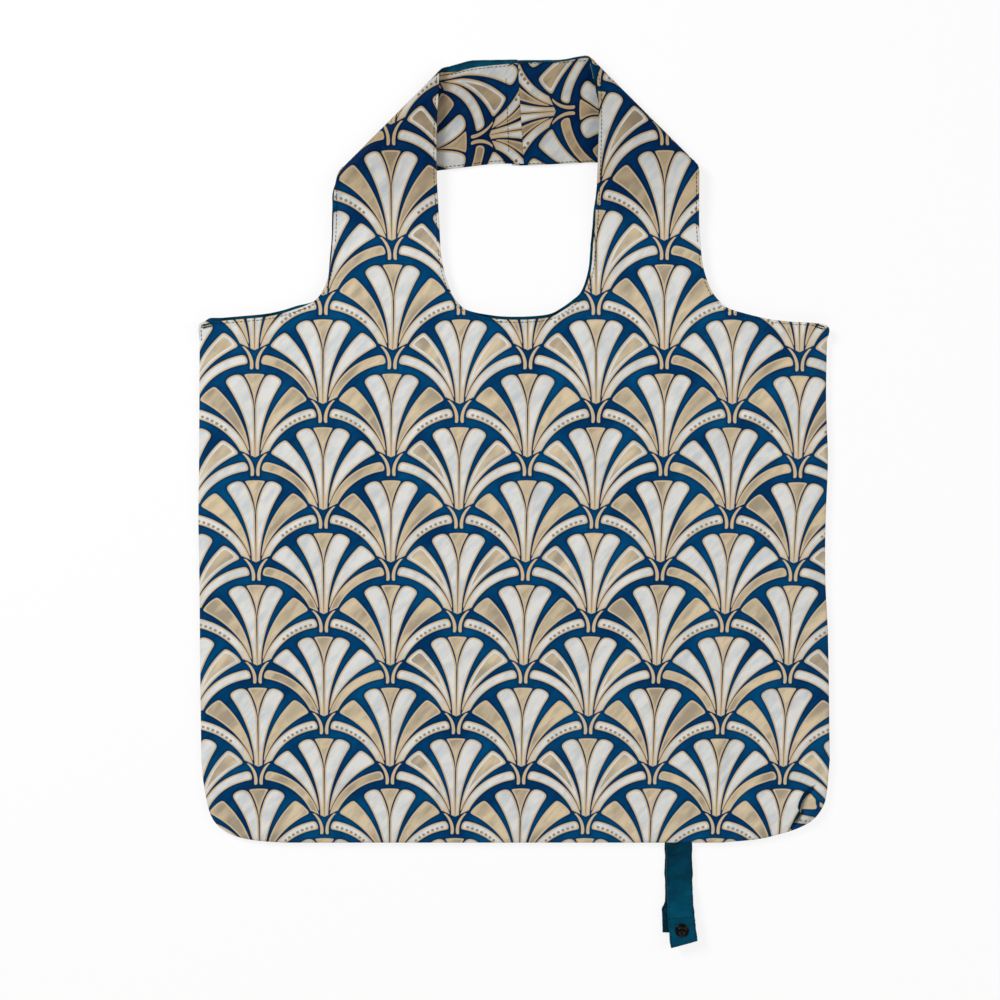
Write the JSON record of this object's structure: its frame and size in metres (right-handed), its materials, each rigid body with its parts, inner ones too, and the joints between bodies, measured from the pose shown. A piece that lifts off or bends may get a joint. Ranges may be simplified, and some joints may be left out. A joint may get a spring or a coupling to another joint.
{
  "type": "foldable tote bag",
  "caption": "Thin folding shopper with paired shoulder handles, printed all over, and two closing straps that snap together round the folded bag.",
  "frame": {"origin": "on the resting surface, under the middle of the whole outline from the handles to the strap ends", "axes": "+X across the bag to the right, +Y up the bag towards the handles, +Z out of its front face"},
  "size_m": [0.5, 0.707, 0.0116],
  "materials": {
    "printed_fabric": "satin printed polyester",
    "teal_fabric": "satin polyester",
    "thread": "matt sewing thread",
    "snap": "gloss"
  },
  "bodies": {
    "bag": {"front_panel": "printed_fabric", "back_panel": "printed_fabric", "bottom_seam": "printed_fabric", "bottom_allowance": "teal_fabric", "closing_strap_roots": "teal_fabric", "neck_hem_front": "teal_fabric", "neck_hem_back": "teal_fabric", "strap_hems_front": "teal_fabric", "strap_hems_back": "teal_fabric"},
    "left_side": {"front_panel_left": "printed_fabric", "back_panel_left": "printed_fabric", "side_seam_left": "printed_fabric", "side_allowance_left": "teal_fabric", "corner_tuck_left": "printed_fabric", "bottom_seam_left": "printed_fabric", "arm_hem_front_left": "teal_fabric", "arm_hem_back_left": "teal_fabric", "side_bartack_left": "thread"},
    "right_side": {"front_panel_right": "printed_fabric", "back_panel_right": "printed_fabric", "side_seam_right": "printed_fabric", "side_allowance_right": "teal_fabric", "corner_tuck_right": "printed_fabric", "bottom_seam_right": "printed_fabric", "arm_hem_front_right": "teal_fabric", "arm_hem_back_right": "teal_fabric", "side_bartack_right": "thread"},
    "handles": {"front_handle_left": "printed_fabric", "front_handle_right": "printed_fabric", "front_handle_seam": "teal_fabric", "back_handle_left": "printed_fabric", "back_handle_right": "printed_fabric", "back_handle_seam": "teal_fabric"},
    "upper_strap": {"upper_strap_base": "teal_fabric"},
    "upper_strap_end": {"upper_strap_tip": "teal_fabric", "upper_strap_turning": "teal_fabric", "snap_socket": "snap", "snap_socket_cap": "snap"},
    "lower_strap": {"lower_strap_base": "teal_fabric"},
    "lower_strap_end": {"lower_strap_tip": "teal_fabric", "lower_strap_turning": "teal_fabric", "snap_stud": "snap", "snap_stud_cap": "snap"}
  },
  "joints": [
    {"name": "left_side_fold", "type": "hinge", "parent": "bag", "child": "left_side", "pos_m": [-0.15, -0.0645, 0.0086], "axis": [0, 1, 0], "range_deg": [0, 180]},
    {"name": "right_side_fold", "type": "hinge", "parent": "bag", "child": "right_side", "pos_m": [0.15, -0.0645, 0.0086], "axis": [0, -1, 0], "range_deg": [0, 180]},
    {"name": "handle_fold", "type": "hinge", "parent": "bag", "child": "handles", "pos_m": [0, 0.2045, 0.0136], "axis": [1, 0, 0], "range_deg": [0, 180]},
    {"name": "upper_strap_root", "type": "hinge", "parent": "bag", "child": "upper_strap", "pos_m": [0.132, -0.2723, 0.0037], "axis": [-1, 0, 0], "range_deg": [0, 80]},
    {"name": "upper_strap_bend", "type": "hinge", "parent": "upper_strap", "child": "upper_strap_end", "pos_m": [0.132, -0.3115, 0.0085], "axis": [-1, 0, 0], "range_deg": [0, 100]},
    {"name": "lower_strap_root", "type": "hinge", "parent": "bag", "child": "lower_strap", "pos_m": [0.1295, -0.2723, 0.0002], "axis": [1, 0, 0], "range_deg": [0, 80]},
    {"name": "lower_strap_bend", "type": "hinge", "parent": "lower_strap", "child": "lower_strap_end", "pos_m": [0.1295, -0.3115, 0.0021], "axis": [1, 0, 0], "range_deg": [0, 100]}
  ]
}
